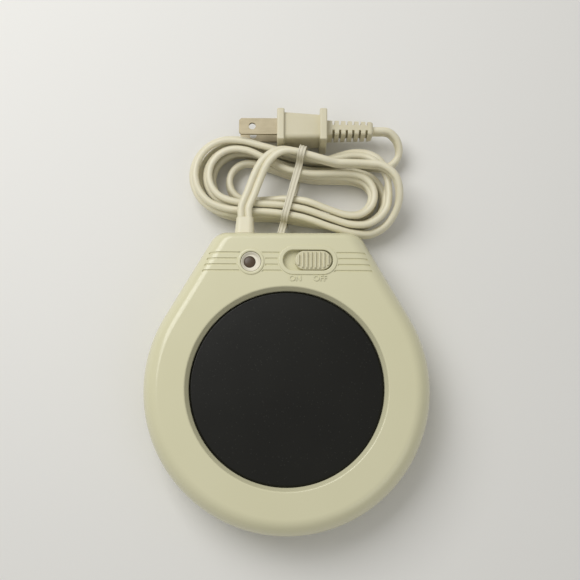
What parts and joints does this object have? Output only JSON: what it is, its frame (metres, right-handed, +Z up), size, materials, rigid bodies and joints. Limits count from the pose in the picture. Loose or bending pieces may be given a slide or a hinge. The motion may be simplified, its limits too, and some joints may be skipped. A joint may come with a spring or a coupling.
{
  "type": "candle warmer",
  "caption": "Electric jar candle warmer: a round black hotplate sunk in a moulded cream housing with a tapered control end, slide switch, pilot light and a folded mains lead with plug.",
  "frame": {"origin": "middle of the warmer's footprint, without its cord, on the table under its feet", "axes": "+X to the right seen from the front, +Y from the round front to the control end at the back, +Z up"},
  "size_m": [0.1298, 0.1976, 0.0312],
  "materials": {
    "housing_cream": "cream moulded ABS, glossy",
    "plate_black": "black heat-resistant coating, semi-gloss",
    "steel": "plain sheet and screw steel",
    "silicone": "red silicone gasket",
    "mica": "mica sheet",
    "ribbon": "resistance ribbon",
    "fibre": "ceramic fibre pad",
    "foot_rubber": "black rubber",
    "bezel_white": "off-white moulded plastic",
    "lens_brown": "dark amber tinted plastic, unlit",
    "lamp_glass": "clear glass neon bulb",
    "ceramic": "resistor and fuse body",
    "contact_brass": "brass and copper contacts",
    "switch_black": "black moulded plastic",
    "cord_cream": "cream PVC, satin",
    "plug_cream": "cream moulded PVC, semi-gloss",
    "wire_insulation": "wire insulation",
    "tie_plastic": "plastic twist tie",
    "blade_metal": "nickel-plated brass"
  },
  "bodies": {
    "housing": {"upper_housing": "housing_cream", "base_cover": "housing_cream", "rubber_feet": "foot_rubber", "housing_screws": "steel", "heating_plate": "plate_black", "plate_gasket": "silicone", "retainer_ring": "steel", "retainer_screws": "steel", "mica_upper": "mica", "heating_element": "ribbon", "mica_lower": "mica", "insulation_pad": "fibre", "clamp_plate": "steel", "plate_nut": "steel", "heat_shield": "steel", "thermal_fuse": "ceramic", "fuse_clip": "steel", "crimp_connectors": "steel", "pilot_bezel": "bezel_white", "pilot_lens": "lens_brown", "neon_lamp": "lamp_glass", "lamp_resistor": "ceramic", "lamp_leads": "steel", "switch_frame": "steel", "switch_case": "switch_black", "switch_terminals": "contact_brass", "switch_screws": "steel", "cord_bushing": "cord_cream", "inner_cord": "cord_cream", "cord_clamp": "switch_black", "cord_clamp_screws": "steel", "live_wire": "wire_insulation", "switched_wire": "wire_insulation", "neutral_wire": "wire_insulation", "fuse_wire": "wire_insulation", "cord_lead": "cord_cream", "cord_hank": "cord_cream", "cord_tail": "cord_cream", "twist_tie": "tie_plastic", "plug_body": "plug_cream", "plug_blade_wide": "blade_metal", "plug_blade_narrow": "blade_metal"},
    "slider": {"thumb_slider": "housing_cream", "switch_shuttle": "switch_black", "bridge_contact": "contact_brass"}
  },
  "joints": [
    {"name": "switch_slide", "type": "slide", "parent": "housing", "child": "slider", "axis": [-1, 0, 0], "range_m": [0, 0.0048]}
  ]
}
